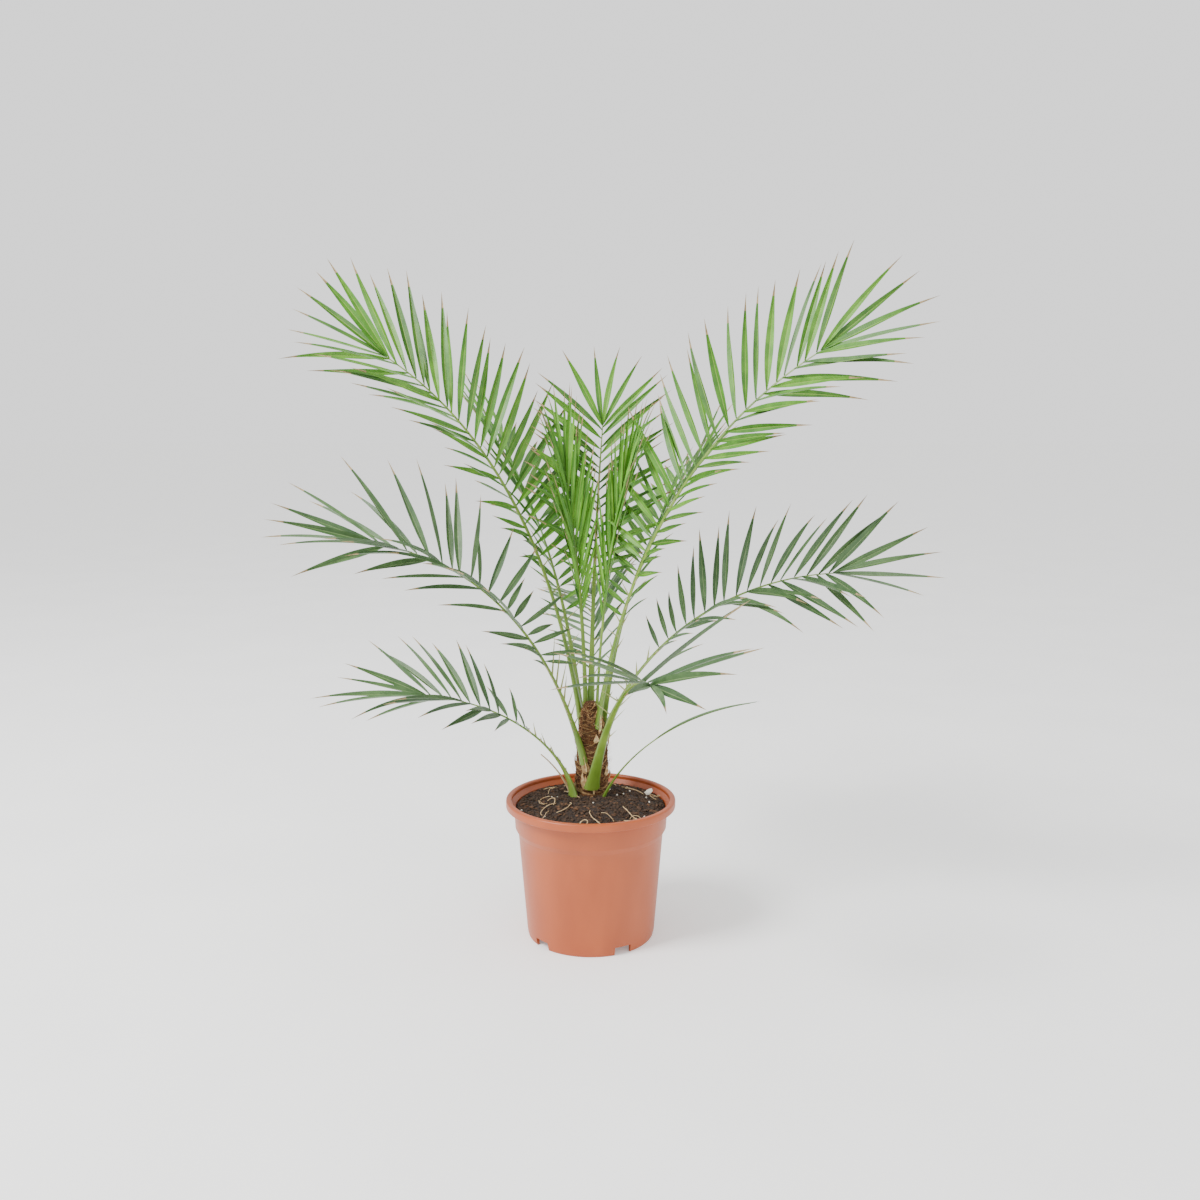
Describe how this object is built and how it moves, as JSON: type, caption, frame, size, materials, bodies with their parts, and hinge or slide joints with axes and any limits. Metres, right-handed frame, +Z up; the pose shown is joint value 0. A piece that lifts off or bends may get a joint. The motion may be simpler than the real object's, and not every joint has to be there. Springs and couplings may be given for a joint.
{
  "type": "potted canary island date palm",
  "caption": "Young Canary Island date palm with arching feather fronds on a short fibrous trunk, standing in a round terracotta-coloured nursery pot with a notched foot.",
  "frame": {"origin": "centre of the pot's flat underside, on the pot's axis", "axes": "+Z up along the pot's axis, -Y towards the pictured front, +X to the picture's right"},
  "size_m": [0.7376, 0.6509, 0.7709],
  "materials": {
    "pot_plastic": "satin moulded terracotta-coloured plastic",
    "compost": "moist dark compost with bark and root crumbs",
    "trunk_fibre": "matted brown leaf-base fibre",
    "stalk": "smooth waxy yellow-green",
    "leaflet": "satin green leaf, folded along its midline"
  },
  "bodies": {
    "root": {"pot": "pot_plastic", "soil": "compost", "trunk": "trunk_fibre", "frond_left_top_stalk": "stalk", "frond_left_top_blade_1": "leaflet", "frond_left_top_blade_2": "leaflet", "frond_right_top_stalk": "stalk", "frond_right_top_blade_1": "leaflet", "frond_right_top_blade_2": "leaflet", "frond_left_middle_stalk": "stalk", "frond_left_middle_blade_1": "leaflet", "frond_left_middle_blade_2": "leaflet", "frond_right_middle_stalk": "stalk", "frond_right_middle_blade_1": "leaflet", "frond_right_middle_blade_2": "leaflet", "frond_left_low_stalk": "stalk", "frond_left_low_blade_1": "leaflet", "frond_front_low_stalk": "stalk", "frond_front_low_blade_1": "leaflet", "frond_back_top_stalk": "stalk", "frond_back_top_blade_1": "leaflet", "frond_back_left_stalk": "stalk", "frond_back_left_blade_1": "leaflet", "frond_back_left_blade_2": "leaflet", "frond_back_right_stalk": "stalk", "frond_back_right_blade_1": "leaflet", "frond_back_right_blade_2": "leaflet", "frond_back_low_stalk": "stalk", "frond_back_low_blade_1": "leaflet", "young_frond_left_stalk": "stalk", "young_frond_left_blade_1": "leaflet", "young_frond_right_stalk": "stalk", "young_frond_right_blade_1": "leaflet", "strap_leaf_stalk": "stalk", "strap_leaf_blade": "leaflet", "old_leaf_stalk": "stalk"}
  },
  "joints": []
}
